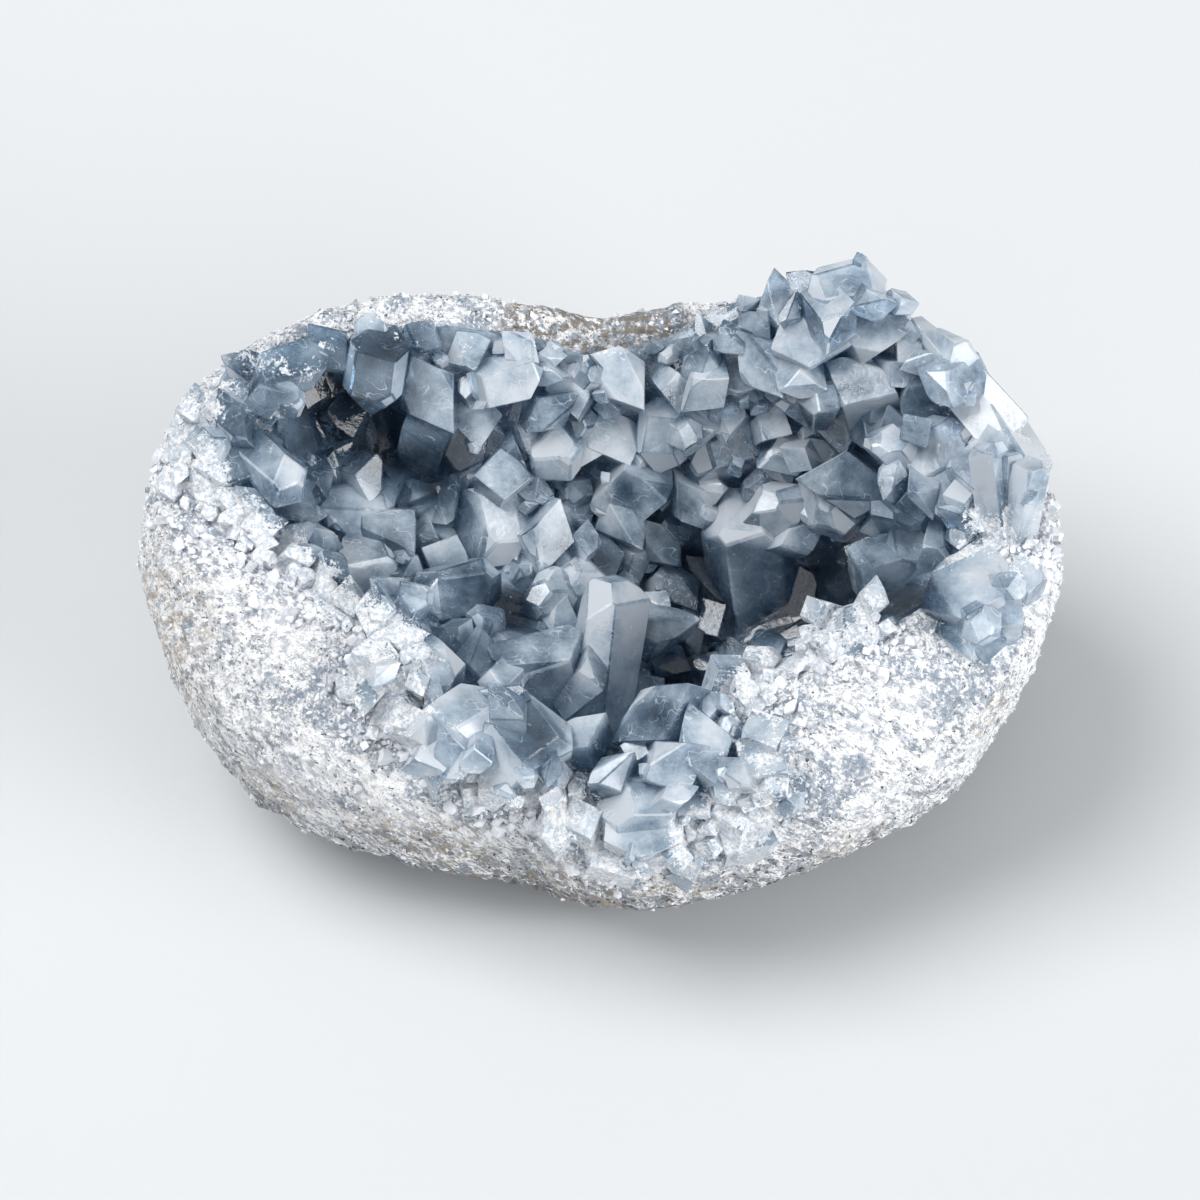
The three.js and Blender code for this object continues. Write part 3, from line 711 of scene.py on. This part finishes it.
class Filling:
    """Crystals scattered where they are seen: on the crust and on the large ones' flanks."""

    def __init__(self, base, large, border):
        FORMS, SEED = 18, 11
        solids = [(c.corners, c.faces) for c in large]
        bare = [p.vertices for p in base.data.polygons]
        corners, faces, owners = joined(solids)
        points = points_of(base.data)
        self.owners = np.append(np.full(len(bare), -1), owners)
        self.tree = BVHTree.FromPolygons(
            np.vstack([points, corners]).tolist(), bare + (faces + len(points)).tolist(),
        )
        self.caves = places(self.tree, CAVES)
        self.large, self.border = large, border
        self.random = np.random.RandomState(SEED)
        self.forms = small_forms(FORMS)
        self.parts, self.clouds = [], []
        self.middles, self.widths = np.empty((0, 3)), np.empty(0)

    def crowded(self, point, width, room):
        if not len(self.widths):
            return False
        away = np.linalg.norm(self.middles - point, axis=1)
        return (away < room * (self.widths + width)).any()

    def scatter(self, tries, narrow, wide, room, clouds):
        """Tries places at random and keeps those that are seen, not crowded, on no face of a
        large crystal that is turned to the open, and not in sight past the rim. The narrow ones
        are the more common, and stand near the border."""
        ACROSS, UPWARDS, NARROWER = (-84, 86), (-27, 93), 1.4
        FLANK, SHARE, EDGE, RISE = 0.62, 0.6, 2.2, 0.7
        TO_LIGHT, TO_LIGHT_ON_FLANK, WANDER = 0.8, 1.4, 0.5
        random = self.random
        for _ in range(tries):
            right, up = random.uniform(*ACROSS), random.uniform(*UPWARDS)
            share, cloudy = random.rand(2)
            lean, side = random.normal(0, 1, (2, 3))
            form = random.randint(len(self.forms))
            width = narrow + (wide - narrow) * share ** NARROWER
            place, wall, index, _ = sight(self.tree, right, up)
            if place is None:
                continue
            point, wall, owner = np.array(place), np.array(wall), self.owners[index]
            width = min(width, EDGE + RISE * nearest([point], self.border)[0])
            if owner >= 0 and (wall @ OUT > FLANK or width > SHARE * self.large[owner].width):
                continue
            if self.crowded(point, width, room):
                continue
            if nearness(point[None], self.caves)[0] > cloudy:
                continue
            toward = TO_LIGHT if owner < 0 else TO_LIGHT_ON_FLANK
            axis = unit(wall + toward * OUT + WANDER * lean)
            end = point + axis * width
            if seen_at(self.tree, end @ RIGHT, end @ UP) is None:
                continue
            basis = upright(axis, unit(np.cross(axis, side)))
            corners, faces, tones = self.forms[form]
            self.parts.append((corners * width @ basis + point, faces, tones))
            self.clouds.append(clouds[0] + (clouds[1] - clouds[0]) * cloudy)
            self.middles = np.vstack([self.middles, point])
            self.widths = np.append(self.widths, width)


# ---- materials ----

RAMP_ENDS = ("From Min", "From Max", "To Min", "To Max")


class Nodes:
    """Builds a material's node tree in a few words."""

    def __init__(self, name):
        self.material = bpy.data.materials.new(name)
        self.material.use_nodes = True
        self.tree = self.material.node_tree
        self.tree.nodes.clear()
        self.output = self.tree.nodes.new("ShaderNodeOutputMaterial")
        self.place = self.tree.nodes.new("ShaderNodeTexCoord").outputs["Object"]

    def put(self, kind, settings=None, **inputs):
        """Adds a node with its settings, and what goes into each of its sockets."""
        node = self.tree.nodes.new(kind)
        for key, value in (settings or {}).items():
            setattr(node, key, value)
        for key, value in inputs.items():
            self.feed(node.inputs[key.replace("_", " ")], value)
        return node

    def feed(self, socket, value):
        """Links another node's socket to a socket, or sets its value."""
        if isinstance(value, bpy.types.NodeSocket):
            self.tree.links.new(value, socket)
        elif socket.type == "RGBA" and len(value) == 3:
            socket.default_value = (*value, 1)
        else:
            socket.default_value = value

    def surface(self, **inputs):
        """Ends a material with its surface, and gives it back."""
        shader = self.put("ShaderNodeBsdfPrincipled", **inputs)
        self.tree.links.new(shader.outputs[0], self.output.inputs["Surface"])
        return self.material

    def noise(self, size, detail=3.0, rough=0.55, fibres=False):
        """Noise from 0 to 1 whose features are about size mm, or fibres that fall to the right."""
        SLANT, STRETCH = (0, radians(45), 0), (2.2, 0.8, 0.8)
        place = self.place
        if fibres:
            turned = self.put(
                "ShaderNodeMapping", {"vector_type": "TEXTURE"},
                Vector=place, Rotation=SLANT, Scale=STRETCH,
            )
            place = turned.outputs[0]
        node = self.put(
            "ShaderNodeTexNoise",
            Vector=place, Scale=1 / (size * MM), Detail=detail, Roughness=rough,
        )
        return node.outputs["Fac"]

    def cells(self, size):
        """Distance from the middles of cells about size mm wide."""
        node = self.put("ShaderNodeTexVoronoi", Vector=self.place, Scale=1 / (size * MM))
        return node.outputs["Distance"]

    def kept(self, name):
        """The number that a mesh keeps under a name."""
        return self.put("ShaderNodeAttribute", {"attribute_name": name}).outputs["Fac"]

    def ramp(self, value, low, high, to_low=0.0, to_high=1.0):
        """Runs softly from to_low to to_high as a value goes from low to high."""
        node = self.put("ShaderNodeMapRange", {"interpolation_type": "SMOOTHSTEP"}, Value=value)
        for name, number in zip(RAMP_ENDS, (low, high, to_low, to_high)):
            node.inputs[name].default_value = number
        return node.outputs["Result"]

    def math(self, kind, *values):
        node = self.put("ShaderNodeMath", {"operation": kind})
        for socket, value in zip(node.inputs, values):
            self.feed(socket, value)
        return node.outputs[0]

    def times(self, a, b):
        return self.math("MULTIPLY", a, b)

    def swing(self, value, width):
        """A value from 0 to 1 as one from minus half the width to plus half."""
        return self.times(self.math("SUBTRACT", value, 0.5), width)

    def mix(self, share, a, b):
        node = self.put("ShaderNodeMix", {"data_type": "RGBA"})
        self.feed(node.inputs[0], share)
        self.feed(node.inputs[6], a)
        self.feed(node.inputs[7], b)
        return node.outputs[2]

    def colors(self, value, *stops):
        """Runs through colours evenly as a value goes from 0 to 1."""
        node = self.put("ShaderNodeValToRGB", Fac=value)
        marks = node.color_ramp.elements
        while len(marks) < len(stops):
            marks.new(0.5)
        for i, (mark, color) in enumerate(zip(marks, stops)):
            mark.position, mark.color = i / (len(stops) - 1), (*color, 1)
        return node.outputs["Color"]

    def bump(self, height, distance, strength=1.0, under=None):
        """Raises the surface by up to distance mm, on top of an earlier bump."""
        node = self.put("ShaderNodeBump", Height=height, Distance=distance * MM, Strength=strength)
        if under:
            self.feed(node.inputs["Normal"], under)
        return node.outputs[0]


def rock_material(rock):
    """White granular rock with grey streaks and flecks, blue-grey patches, dark specks, tan
    stains and brown rock. The shares say how much each covers of what is under it."""
    BLUE_GREY, SPECK = (0.25, 0.31, 0.39), (0.05, 0.05, 0.055)
    BROWN, UNDER_CRUST = (0.25, 0.225, 0.20), (0.34, 0.42, 0.50)
    DARKER_BELOW, PALE_GREY = 0.55, 1.6
    FLAKES, STREAKS, FLECKS, PATCHES = 0.75, 0.85, 0.9, 0.85
    SPECKS, STAIN, CRUST = 0.95, 0.6, 0.6
    n = Nodes("white_rock")
    speckling, away = n.kept("speckling"), n.kept("away")
    height = n.put("ShaderNodeSeparateXYZ", Vector=n.place).outputs["Z"]
    low = n.ramp(height, 0.010, 0.050, 1.0, 0.0)
    busy = n.math("MAXIMUM", n.ramp(n.noise(11, 2, 0.6), 0.40, 0.60, 0.15, 1.0), low)
    streaks = n.ramp(n.math("MULTIPLY_ADD", low, 0.10, n.noise(3.0, 5, 0.8, True)), 0.54, 0.60)
    flecks = n.ramp(n.math("MULTIPLY_ADD", low, 0.04, n.noise(1.0, 3, 0.7, True)), 0.56, 0.62)
    dark = n.mix(low, tuple(rock.grey), tuple(DARKER_BELOW * c for c in rock.grey))
    flakes = n.times(n.ramp(n.noise(2.0, 4, 0.75, True), 0.50, 0.57), FLAKES)
    color = n.mix(flakes, tuple(rock.white), tuple(PALE_GREY * c for c in rock.grey))
    color = n.mix(n.times(streaks, n.times(busy, STREAKS)), color, dark)
    color = n.mix(n.times(flecks, n.times(busy, FLECKS)), color, dark)
    patches = n.math("ADD", n.noise(6.5, 5, 0.7), n.ramp(away, 0.0, 16.0, 0.10, 0.0))
    patches = n.math("MULTIPLY_ADD", n.kept("bluish"), 0.11, patches)
    patches = n.ramp(patches, 0.57, 0.63)
    patches = n.times(patches, n.ramp(n.noise(1.2, 4, 0.7), 0.35, 0.55))
    color = n.mix(n.times(patches, PATCHES), color, BLUE_GREY)
    # Dark specks, thickest low down, at the back and underneath.
    specks = n.ramp(n.math("MULTIPLY_ADD", speckling, 0.09, n.noise(1.0, 3, 0.6)), 0.66, 0.70)
    color = n.mix(n.times(specks, SPECKS), color, SPECK)
    stain = n.times(n.kept("stain"), n.ramp(n.noise(1.8, 4, 0.7), 0.46, 0.60))
    color = n.mix(n.times(stain, STAIN), color, tuple(rock.tan))
    brown = n.times(n.kept("brown"), n.ramp(n.noise(1.6, 5, 0.7), 0.43, 0.56))
    color = n.mix(brown, color, BROWN)
    color = n.mix(n.times(n.kept("inner"), CRUST), color, UNDER_CRUST)
    bump = n.bump(n.noise(2.0, 4, 0.8, True), 1.4, 1.0)
    bump = n.bump(n.cells(0.8), 0.25, 0.7, bump)
    return n.surface(Base_Color=color, Roughness=0.8, Normal=bump, Specular_IOR_Level=0.35)


def crystal_material(crystals):
    """Pale blue celestite: see-through to cloudy, frosted white towards the rim. The body runs
    from 0, clear and deep blue, to 1, milky."""
    FROST_SHADE, FROST = (0.60, 0.67, 0.75), (0.97, 0.97, 0.98)
    VEILS, WISPS, TONE, CLOUD, CLEAREST, FRACTURES, SPECKS = 1.1, 0.5, 0.46, 0.38, 0.26, 0.35, 0.6
    n = Nodes("celestite")
    cloud, frost, deep, tone = (n.kept(name) for name in ("cloud", "frost", "deep", "tone"))
    veils = n.swing(n.noise(8, 1, 0.5), VEILS)
    wisps = n.swing(n.noise(1.6, 4, 0.75), WISPS)
    body = n.math("MULTIPLY_ADD", tone, TONE, n.math("ADD", veils, wisps))
    body = n.math("ADD", body, n.math("MULTIPLY_ADD", cloud, CLOUD, CLEAREST))
    # Painted shade: the shade kept on the mesh darkens the body towards deep blue, and so also
    # makes it clearer.
    body = n.times(body, n.math("MULTIPLY_ADD", deep, -1.05, 1.12))
    bent = n.math("ABSOLUTE", n.math("SUBTRACT", n.noise(3.0, 1, 0.6, True), 0.5))
    fractures = n.ramp(bent, 0.0, 0.016, 1.0, 0.0)
    fractures = n.times(fractures, n.ramp(n.noise(5, 1), 0.48, 0.60))
    body = n.math("MULTIPLY_ADD", fractures, FRACTURES, body)
    body = n.math("MAXIMUM", n.math("MINIMUM", body, 1.0), 0.0)
    rough_edge = n.math("MULTIPLY_ADD", n.noise(4.5, 1), 1.2, n.noise(0.8, 2, 0.7))
    white = n.ramp(n.math("ADD", rough_edge, frost), 1.72, 1.92)
    specks = n.ramp(n.noise(0.7, 3, 0.6), 0.69, 0.73)
    white = n.math("MAXIMUM", white, n.times(specks, SPECKS))
    blues = (crystals.deep_blue, crystals.mid_blue, crystals.pale_blue, crystals.milky)
    color = n.colors(body, *blues)
    grains = n.ramp(n.noise(1.0, 3, 0.7), 0.42, 0.58)
    color = n.mix(white, color, n.mix(grains, FROST_SHADE, FROST))
    solid = n.math("MAXIMUM", n.ramp(body, 0.0, 1.0, 0.14, 0.6), white)
    rough = n.ramp(n.noise(3.0, 1), 0.3, 0.8, 0.01, 0.10)
    rough = n.math("MULTIPLY_ADD", white, 0.5, rough)
    bump = n.bump(n.noise(2.5, 4, 0.75, True), 0.22, 0.4)
    bump = n.bump(n.noise(0.9, 3, 0.75), 0.9, white, bump)
    material = n.surface(
        Base_Color=color, Roughness=rough, Normal=bump, IOR=crystals.index,
        Transmission_Weight=n.math("SUBTRACT", 1.0, solid),
    )
    inside = n.put(
        "ShaderNodeVolumeAbsorption", Color=tuple(crystals.depth_color),
        Density=crystals.depth_density,
    )
    n.tree.links.new(inside.outputs[0], n.output.inputs["Volume"])
    return material


def floor_material(color):
    """A plain pale floor, a little darker towards the viewer, where the lamps are near."""
    FRONT, BACK, DARKER_IN_FRONT = -0.35, 0.35, 0.90
    n = Nodes("floor")
    across = n.put("ShaderNodeSeparateXYZ", Vector=n.place).outputs["Y"]
    darker = tuple(DARKER_IN_FRONT * c for c in color)
    tint = n.mix(n.ramp(across, FRONT, BACK), darker, tuple(color))
    return n.surface(Base_Color=tint, Roughness=0.9, Specular_IOR_Level=0.1)


# ---- pieces ----


def to_frame(piece):
    """Moves a piece's mesh from mm about the flat spot to the frame's metres."""
    piece.data.transform(Matrix.Translation(FOOT) @ Matrix.Scale(MM, 4))
    return piece


def in_mm(points):
    return (points - np.array(FOOT)) / MM


class GEODE_OT_rock(bpy.types.Operator):
    """Makes the rock: the nodule's thick white wall, weathered and stained"""

    bl_idname = "geode.rock"
    bl_label = "Rock"

    def execute(self, context):
        settings = context.scene.geode_rock
        rock = bpy.data.objects.new("rock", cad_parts["rind"].data.copy())
        rock.data.name = "rock"
        rock.data.materials.clear()
        context.scene.collection.objects.link(rock)
        cells = rock.modifiers.new("cells", "REMESH")
        cells.mode, cells.voxel_size = "VOXEL", settings.voxel
        applied(rock)
        self.mark(rock.data)
        self.roughen(rock, settings)
        rock.data.materials.append(rock_material(settings))
        rock.data.polygons.foreach_set("use_smooth", np.zeros(len(rock.data.polygons), bool))
        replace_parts(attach(rock, "root"), "rind")
        return {"FINISHED"}

    def mark(self, mesh):
        """Keeps how far the rock is from the crust, where it is under it, and where it has more
        dark specks, stains, brown or blue-grey. The specks are thickest low down, at the back and
        underneath."""
        UNDER, SEAM, FEWEST_SPECKS = 1.3, 0.5, 0.15
        points = in_mm(points_of(mesh))
        normals = points_of(mesh, "normal")
        tree, covered = tree_of(welded("rind")), tree_of(covered_rock())
        away = np.array([covered.find_nearest(Vector(p))[3] for p in points])
        inner = np.clip(UNDER - away / SEAM, 0, 1)
        store(mesh, "inner", inner)
        store(mesh, "away", away)
        for name, spots in (("stain", STAINS), ("brown", BROWN_ROCK), ("bluish", BLUISH)):
            store(mesh, name, nearness(points, places(tree, spots)))
        # More dark specks low down, at the back and on faces turned downwards.
        low = fading(points[:, 2], 12, 34)
        back = fading(points[:, 1], 45, 30)
        down = fading(normals[:, 2], -0.6, 0.4)
        speckling = np.clip(FEWEST_SPECKS + 0.6 * low + 0.4 * down + 0.3 * back, 0, 1)
        store(mesh, "speckling", speckling * (1 - inner))

    def roughen(self, rock, settings):
        """Raises lumps and grain on the bare rock, and leaves the foot and what is under the
        crust. The free parts are sorted into levels of strength."""
        LEVELS, FULL_HEIGHT = 10, 3 * MM
        mesh = rock.data
        inner = kept_values(mesh, "inner")
        points = points_of(mesh)
        free = np.clip(points[:, 2] / FULL_HEIGHT, 0, 1) * (1 - inner)
        bare = rock.vertex_groups.new(name="bare")
        for level in range(1, LEVELS + 1):
            members = np.flatnonzero(np.round(free * LEVELS) == level)
            bare.add(members.tolist(), level / LEVELS, "REPLACE")
        kinds = (
            ("lumps", "CLOUDS", 5.0, settings.lumps),
            ("knobs", "VORONOI", 2.2, settings.grain),
            ("grain", "CLOUDS", 1.3, settings.grain),
        )
        for name, kind, size, height in kinds:
            texture = bpy.data.textures.new(name, kind)
            texture.noise_scale = size * MM
            raise_it = rock.modifiers.new(name, "DISPLACE")
            raise_it.texture, raise_it.strength, raise_it.mid_level = texture, height, 0.5
            raise_it.vertex_group = "bare"
        applied(rock)


class GEODE_OT_crystals(bpy.types.Operator):
    """Makes the crust of crystals, grown together into one body"""

    bl_idname = "geode.crystals"
    bl_label = "Crystals"

    def execute(self, context):
        settings = context.scene.geode_crystals
        large = listed_crystals(tree_of(welded("rind")), settings.growth)
        crust, border = lining(settings.lining / MM)
        parts = [(c.corners, c.faces, c.tones) for c in large]
        clouds = [c.cloud for c in large]
        filling = Filling(crust, large, border)
        filling.scatter(settings.middling, *MIDDLING)
        filling.scatter(settings.small, *SMALL)
        grow_together(crust, parts + filling.parts, clouds + filling.clouds)
        self.mark(crust.data, border)
        to_frame(crust)
        crust.data.materials.clear()
        crust.data.materials.append(crystal_material(settings))
        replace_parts(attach(crust, "root"), "crystal_crust")
        return {"FINISHED"}

    def mark(self, mesh, border):
        """Keeps how frosted the crystals are, most along the front border, and a painted shade
        that darkens them: in the hollows between them, which also lose their frost, at the darker
        places and where they are shut in."""
        AT_THE_BACK, CLEARER, DARK_PLACE, SHUT_IN, CAVE_REACH = 0.45, 0.45, 0.45, 0.7, 1.5
        points = points_of(mesh)
        frosted = fading(nearest(points, border), 5, 15)
        front = np.maximum(fading(points[:, 1], 20, 45), AT_THE_BACK)
        tree = BVHTree.FromPolygons(points.tolist(), [p.vertices for p in mesh.polygons])
        caves = nearness(points, places(tree, CAVES))
        clear = 1 - CLEARER * nearness(points, places(tree, CLEAR))
        store(mesh, "frost", frosted * front * clear * np.clip(1 - CAVE_REACH * caves, 0, 1))
        # Painted shade: the listed darker places, the hollows and the shut-in points darken the
        # crystals as if in shadow.
        shade = DARK_PLACE * nearness(points, places(tree, DARKER))
        shade = np.maximum(shade, SHUT_IN * self.shelter(mesh, points, tree))
        store(mesh, "deep", np.maximum(caves, shade))

    def shelter(self, mesh, points, tree):
        """How far each point is shut in by the crystals around it, from 0, open, to 1, for the
        painted shade.
        """
        FAR, OPEN, SHUT, START, BEHIND = 28, 0.45, 1.0, 0.4, -0.3
        ways = [leaning(right, up) for right in (-55, -18, 18, 55) for up in (-45, -10, 25, 60)]
        normals = points_of(mesh, "normal")
        shut = np.zeros(len(points))
        for way in ways:
            facing = np.flatnonzero(normals @ way > BEHIND)
            start = points + (normals + way) * START
            shut[normals @ way <= BEHIND] += 1
            for i in facing:
                shut[i] += tree.ray_cast(start[i], way, FAR)[0] is not None
        return fading(shut / len(ways), SHUT, OPEN)


class GEODE_OT_shards(bpy.types.Operator):
    """Makes the small white shards and flakes that lie on the rock"""

    bl_idname = "geode.shards"
    bl_label = "Shards"

    def execute(self, context):
        SEED, GRAINS, CORNERS, SHAPE, DRUSE = 5, 12, 9, (0.5, 0.4, 0.3), 9
        FLOOR, NEAR_FLOOR, BROWN_SHARE, LEAN = 2, 0.03, 0.8, 0.35
        settings = context.scene.geode_rock
        rock = bpy.data.objects["rock"].data
        random = np.random.RandomState(SEED)
        points, normals = in_mm(points_of(rock)), points_of(rock, "normal")
        inner, away = kept_values(rock, "inner"), kept_values(rock, "away")
        grains = [hull(random.normal(0, 1, (CORNERS, 3)) * SHAPE) for _ in range(GRAINS)]
        druse = [form[:2] for form in small_forms(DRUSE)]
        high = np.maximum(fading(points[:, 2], 33, 8), NEAR_FLOOR)
        high *= (inner < 0.5) * (points[:, 2] > FLOOR)
        high *= 1 - BROWN_SHARE * kept_values(rock, "brown")
        high *= 1 - nearness(points, places(tree_of(welded("rind")), CAVES))
        near = np.clip(1.4 - away / 9, 0, 1) * (points[:, 2] > 14) * high
        # Each kind: its forms, how many, where they lie, and the least and greatest size in mm.
        kinds = (
            (grains, settings.shards, high * (0.3 + near), 0.3, 0.9),
            (grains, settings.shards // 3, near, 0.4, 1.2),
            (druse, settings.druse, near ** 2 * (points[:, 1] < 30), 0.7, 2.2),
        )
        parts = []
        for forms, count, weight, least, most in kinds:
            for i in random.choice(len(points), count, p=weight / weight.sum()):
                size = least + (most - least) * random.rand() ** 2
                axis = unit(normals[i] + LEAN * random.normal(0, 1, 3))
                basis = upright(axis, unit(np.cross(axis, random.normal(0, 1, 3))))
                corners, faces = forms[random.randint(len(forms))]
                parts.append((corners * size @ basis + points[i], faces))
        corners, faces, owners = joined(parts)
        shards = to_frame(mesh_object("shards", corners, faces))
        store(shards.data, "tone", random.rand(len(parts))[owners], "FACE")
        shards.data.materials.append(self.material(settings))
        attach(shards, "root")
        return {"FINISHED"}

    def material(self, settings):
        """White with a few grey shards, and duller in places."""
        WHITE, DULL = (0.86, 0.87, 0.90), (0.74, 0.77, 0.82)
        n = Nodes("white_shards")
        tone = n.kept("tone")
        color = n.mix(n.ramp(tone, 0.55, 1.0), WHITE, tuple(settings.grey))
        color = n.mix(n.ramp(n.noise(0.8, 3), 0.4, 0.7), color, DULL)
        bump = n.bump(n.noise(0.3, 3), 0.1, 0.5)
        return n.surface(Base_Color=color, Roughness=0.45, Normal=bump)


class GEODE_OT_studio(bpy.types.Operator):
    """Makes the floor, the soft light and the camera"""

    bl_idname = "geode.studio"
    bl_label = "Studio"

    def execute(self, context):
        settings = context.scene.geode_studio
        scene = context.scene
        REACH = 12.0
        corners = [(REACH * x, REACH * y, 0) for x, y in ((-1, -1), (1, -1), (1, 1), (-1, 1))]
        floor = mesh_object("floor", corners, [(0, 1, 2, 3)])
        floor.data.materials.append(floor_material(tuple(settings.floor_color)))
        world = bpy.data.worlds.new("studio")
        world.use_nodes = True
        self.sky(world.node_tree, settings.sky)
        scene.world = world
        for name, place, size, share in LAMPS:
            self.lamp(scene, name, place, size, settings.lamp * share)
        self.camera(scene, settings)
        scene.view_settings.view_transform = "Standard"
        return {"FINISHED"}

    def sky(self, tree, strength):
        """A soft light all around, brightest overhead."""
        OVERHEAD, COLOR = (-0.30, 0.30, 0.90), (0.98, 0.99, 1.0, 1)
        DIM_AT, BRIGHT_AT, DIM, BRIGHT = 0.1, 0.98, 0.2, 2.2
        way = tree.nodes.new("ShaderNodeTexCoord").outputs["Generated"]
        rise = tree.nodes.new("ShaderNodeVectorMath")
        rise.operation, rise.inputs[1].default_value = "DOT_PRODUCT", OVERHEAD
        tree.links.new(way, rise.inputs[0])
        bright = tree.nodes.new("ShaderNodeMapRange")
        bright.interpolation_type = "SMOOTHSTEP"
        numbers = (DIM_AT, BRIGHT_AT, DIM * strength, BRIGHT * strength)
        for name, number in zip(RAMP_ENDS, numbers):
            bright.inputs[name].default_value = number
        tree.links.new(rise.outputs["Value"], bright.inputs["Value"])
        back = tree.nodes["Background"]
        back.inputs["Color"].default_value = COLOR
        tree.links.new(bright.outputs[0], back.inputs["Strength"])

    def lamp(self, scene, name, place, size, power):
        """A round soft lamp that is turned to the geode."""
        lamp = bpy.data.lights.new(name, "AREA")
        lamp.shape, lamp.size, lamp.energy = "DISK", size, power
        made = bpy.data.objects.new(name, lamp)
        made.location = place
        made.rotation_euler = (-made.location).to_track_quat("-Z", "Y").to_euler()
        scene.collection.objects.link(made)

    def camera(self, scene, settings):
        SENSOR, NEAREST, FARTHEST = 36, 0.05, 30
        RISE = 30.1 * MM  # the point looked at lies this far up the picture from the origin
        camera = bpy.data.cameras.new("camera")
        camera.sensor_width, camera.lens = SENSOR, settings.lens
        camera.clip_start, camera.clip_end = NEAREST, FARTHEST
        made = bpy.data.objects.new("camera", camera)
        made.location = Vector(UP * RISE + OUT * settings.distance)
        made.rotation_euler = Vector(OUT).to_track_quat("Z", "Y").to_euler()
        scene.collection.objects.link(made)
        scene.camera = made


class GEODE_PT_panel(bpy.types.Panel):
    """Lists the geode's pieces"""

    bl_idname = "GEODE_PT_panel"
    bl_label = "Celestite geode"
    bl_space_type = "VIEW_3D"
    bl_region_type = "UI"
    bl_category = "Geode"

    def draw(self, context):
        for group, operators in (
            (context.scene.geode_rock, ("geode.rock", "geode.shards")),
            (context.scene.geode_crystals, ("geode.crystals",)),
            (context.scene.geode_studio, ("geode.studio",)),
        ):
            box = self.layout.box()
            for name in group.__annotations__:
                box.prop(group, name)
            for operator in operators:
                box.operator(operator)


GROUPS = {"geode_rock": GeodeRock, "geode_crystals": GeodeCrystals, "geode_studio": GeodeStudio}
OPERATORS = (GEODE_OT_studio, GEODE_OT_rock, GEODE_OT_crystals, GEODE_OT_shards)


def register():
    for kind in (*GROUPS.values(), *OPERATORS, GEODE_PT_panel):
        bpy.utils.register_class(kind)
    for name, kind in GROUPS.items():
        setattr(bpy.types.Scene, name, PointerProperty(type=kind))


def unregister():
    for name in GROUPS:
        delattr(bpy.types.Scene, name)
    for kind in (GEODE_PT_panel, *reversed(OPERATORS), *reversed(GROUPS.values())):
        bpy.utils.unregister_class(kind)


def main():
    register()
    bpy.ops.geode.studio()
    bpy.ops.geode.rock()
    bpy.ops.geode.crystals()
    bpy.ops.geode.shards()
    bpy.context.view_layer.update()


if __name__ == "__main__":
    main()
